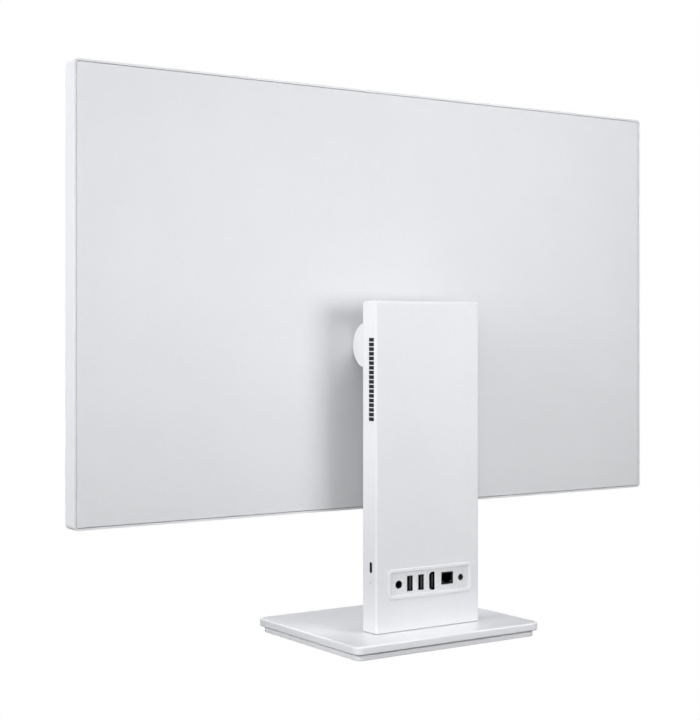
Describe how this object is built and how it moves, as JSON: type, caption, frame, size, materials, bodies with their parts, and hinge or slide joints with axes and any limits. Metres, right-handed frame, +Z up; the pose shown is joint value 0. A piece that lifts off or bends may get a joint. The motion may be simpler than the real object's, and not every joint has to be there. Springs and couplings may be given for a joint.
{
  "type": "all in one computer",
  "caption": "Desktop computer with a thin flat display on a tilting hinge; its electronics sit in a slim stand column with rear ports and side vents, on a rectangular base.",
  "frame": {"origin": "middle of the footprint, on the surface that the rubber feet stand on", "axes": "+Z up, +Y towards the back of the computer, the screen faces -Y, +X towards the side with the side data port"},
  "size_m": [0.615, 0.158, 0.4833],
  "materials": {
    "base_paint": "satin white powder coat",
    "dark_plastic": "matt black",
    "rubber": "matt grey",
    "steel": "zinc plated",
    "white_plastic": "satin white moulding",
    "frame_paint": "satin white moulding",
    "rear_panel": "satin pale grey-white panel",
    "cast_alloy": "bead-blasted casting",
    "bronze": "sintered bronze",
    "port_grain": "fine spark-eroded grain",
    "port_shell": "dark nickel",
    "grey_plastic": "grey moulding",
    "gold_contacts": "gold flash",
    "circuit_board": "solder mask",
    "light_pipe": "clear light pipe, unlit",
    "copper": "bare copper",
    "aluminium": "mill finish fins",
    "cable_film": "polyimide film",
    "screen_glass": "gloss cover glass over a black border",
    "lcd_glass": "dark panel, switched off",
    "clear_acrylic": "clear light guide",
    "light_strip": "white strip with light emitters"
  },
  "bodies": {
    "stand": {"base_top_plate": "base_paint", "base_spacer": "dark_plastic", "base_bottom_plate": "base_paint", "rubber_feet": "rubber", "base_screws": "steel", "column_foot": "steel", "column_shell": "white_plastic", "column_front_cover": "white_plastic", "column_spine": "steel", "vent_meshes": "dark_plastic", "column_hinge_bracket": "cast_alloy", "column_screws": "steel", "hinge_bushes": "bronze", "port_bezel": "white_plastic", "port_plate": "port_grain", "dc_jack": "dark_plastic", "usb_a_shell_1": "port_shell", "usb_a_shell_2": "port_shell", "hdmi_shell": "port_shell", "ethernet_jack": "dark_plastic", "audio_jack": "grey_plastic", "contact_tongues": "grey_plastic", "port_contacts": "gold_contacts", "side_board": "circuit_board", "usb_c_shell": "port_shell", "status_led": "light_pipe", "power_switch": "dark_plastic", "main_board": "circuit_board", "cold_plate": "copper", "heat_pipe": "copper", "fin_stack": "aluminium", "blower_housing": "dark_plastic", "blower_stator": "copper", "memory_module": "circuit_board", "solid_state_drive": "circuit_board", "wireless_card": "circuit_board", "board_sockets": "dark_plastic", "coin_cell": "steel", "column_cable": "cable_film"},
    "display": {"display_frame": "frame_paint", "display_chassis": "dark_plastic", "display_back_cover": "rear_panel", "front_glass": "screen_glass", "front_chin": "white_plastic", "lcd_panel": "lcd_glass", "light_guide": "clear_acrylic", "backlight_bar": "light_strip", "panel_back_pan": "steel", "display_hinge_bracket": "cast_alloy", "hinge_end_caps": "white_plastic", "hinge_shafts": "steel", "friction_washers": "steel", "display_screws": "steel", "panel_board": "circuit_board", "speakers": "dark_plastic", "webcam_module": "dark_plastic", "display_cable": "cable_film"},
    "power_button": {"power_button": "white_plastic"},
    "blower_rotor": {"blower_rotor": "dark_plastic"}
  },
  "joints": [
    {"name": "display_tilt", "type": "hinge", "parent": "stand", "child": "display", "pos_m": [0, 0.0128, 0.2576], "axis": [-1, 0, 0], "range_deg": [-5, 25]},
    {"name": "power_button_press", "type": "slide", "parent": "stand", "child": "power_button", "axis": [1, 0, 0], "range_m": [0, 0.0008], "stiffness_N_per_m": 1500, "springref_m": -0.0008},
    {"name": "blower_spin", "type": "hinge", "parent": "stand", "child": "blower_rotor", "pos_m": [-0.008, 0.0388, 0.229], "axis": [0, 1, 0], "continuous": true}
  ]
}
